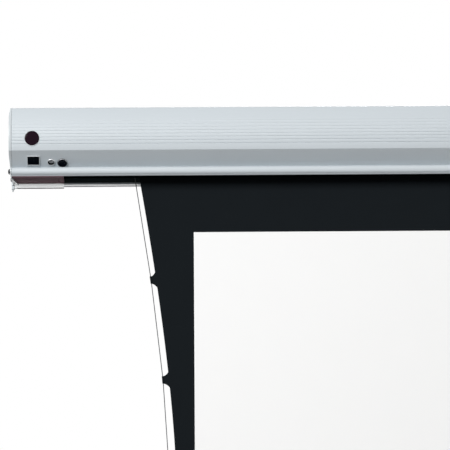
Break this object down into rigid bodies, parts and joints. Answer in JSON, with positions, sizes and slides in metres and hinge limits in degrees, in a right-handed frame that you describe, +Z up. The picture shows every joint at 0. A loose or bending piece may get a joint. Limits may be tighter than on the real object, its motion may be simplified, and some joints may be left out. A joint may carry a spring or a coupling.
{
  "type": "motorised projection screen",
  "caption": "Wall-hung electric projection screen: an aluminium case with a driven roller, tab-tensioned black-bordered white fabric and a weight bar.",
  "frame": {"origin": "centre of the flat back face of the case, on the wall plane", "axes": "+X along the case to the viewer's right, +Y into the wall, +Z up"},
  "size_m": [2.6014, 0.1515, 1.4033],
  "materials": {
    "case_aluminium": "light satin anodised or powder-coated extrusion",
    "roller_aluminium": "mill finish",
    "cap_plastic": "light grey moulded plastic",
    "dark_screw": "blackened steel",
    "service_cover": "dark glossy cover",
    "light_trim": "light grey painted strip",
    "black_sheet": "black coated metal",
    "infrared_plastic": "dark maroon polished window",
    "black_plastic": "black moulded plastic",
    "button_plastic": "black polished plastic",
    "badge_trim": "bright satin frame",
    "badge_field": "bare black field",
    "chrome": "polished chrome",
    "steel": "zinc-plated steel",
    "motor_tube": "grey painted tube",
    "black_fabric": "matt black masked screen fabric",
    "white_fabric": "matt white viewing surface",
    "cord": "grey braided tension cord"
  },
  "bodies": {
    "case": {"case_shell": "case_aluminium", "end_cap_left": "cap_plastic", "end_cap_right": "cap_plastic", "cap_screw_left_1": "dark_screw", "cap_screw_left_2": "dark_screw", "cap_screw_left_3": "dark_screw", "cap_screw_left_4": "dark_screw", "cap_screw_right_1": "dark_screw", "cap_screw_right_2": "dark_screw", "cap_screw_right_3": "dark_screw", "cap_screw_right_4": "dark_screw", "service_cover_left": "service_cover", "service_cover_right": "service_cover", "cover_lip_left": "light_trim", "cover_lip_right": "light_trim", "bottom_cover": "black_sheet", "ir_window": "infrared_plastic", "ir_receiver": "black_plastic", "badge_frame": "badge_trim", "badge_plate": "badge_field", "jack_socket": "chrome", "jack_nut": "steel", "button_bushing": "black_plastic", "power_gland": "black_plastic", "control_box": "black_plastic", "motor_bracket": "steel", "motor_head": "black_plastic", "motor_tube": "motor_tube", "idler_bracket": "steel", "idler_bearing": "steel", "wall_bracket_left": "steel", "wall_bracket_right": "steel", "screen_fabric": "black_fabric", "viewing_surface": "white_fabric", "cord_left": "cord", "cord_right": "cord"},
    "roller": {"roller_tube": "roller_aluminium", "crown_ring": "black_plastic", "drive_wheel": "black_plastic", "idler_plug": "black_plastic", "wound_fabric": "black_fabric"},
    "bar": {"weight_bar": "black_sheet", "hem_rod": "steel", "bar_end_cap_left": "black_plastic", "bar_end_cap_right": "black_plastic"},
    "button": {"push_button": "button_plastic"},
    "up_limit": {"limit_screw_up": "steel"},
    "down_limit": {"limit_screw_down": "steel"},
    "knob_left": {"tension_knob_left": "dark_screw"},
    "knob_right": {"tension_knob_right": "dark_screw"},
    "slider_left": {"tension_slider_left": "steel"},
    "slider_right": {"tension_slider_right": "steel"}
  },
  "joints": [
    {"name": "screen_drop", "type": "slide", "parent": "case", "child": "bar", "axis": [0, 0, 1], "range_m": [0, 1.252], "deforming": ["screen_fabric", "viewing_surface", "cord_left", "cord_right"]},
    {"name": "roller_spin", "type": "hinge", "parent": "case", "child": "roller", "pos_m": [0, -0.06148, 0.005], "axis": [1, 0, 0], "range_deg": [-1975, 0]},
    {"name": "button_press", "type": "slide", "parent": "case", "child": "button", "axis": [0, 0.7193, 0.6947], "range_m": [0, 0.002], "stiffness_N_per_m": 400, "springref_m": -0.002},
    {"name": "up_limit_turn", "type": "hinge", "parent": "case", "child": "up_limit", "pos_m": [-1.1465, -0.06148, -0.02], "axis": [0, 0, -1], "range_deg": [-1080, 1080]},
    {"name": "down_limit_turn", "type": "hinge", "parent": "case", "child": "down_limit", "pos_m": [-1.1325, -0.06148, -0.02], "axis": [0, 0, -1], "range_deg": [-1080, 1080]},
    {"name": "knob_left_turn", "type": "hinge", "parent": "bar", "child": "knob_left", "pos_m": [-1.0821, -0.09856, -1.2866], "axis": [-1, 0, 0], "range_deg": [0, 2162]},
    {"name": "knob_right_turn", "type": "hinge", "parent": "bar", "child": "knob_right", "pos_m": [1.0821, -0.09856, -1.2866], "axis": [1, 0, 0], "range_deg": [0, 2162]},
    {"name": "slider_left_draw", "type": "slide", "parent": "bar", "child": "slider_left", "axis": [-1, 0, 0], "range_m": [0, 0.006]},
    {"name": "slider_right_draw", "type": "slide", "parent": "bar", "child": "slider_right", "axis": [1, 0, 0], "range_m": [0, 0.006]}
  ],
  "couplings": [
    {"joint": "roller_spin", "follows": "screen_drop", "rad_per_m": -27.4},
    {"joint": "knob_left_turn", "follows": "slider_left_draw", "rad_per_m": 6283.2},
    {"joint": "knob_right_turn", "follows": "slider_right_draw", "rad_per_m": 6283.2}
  ]
}
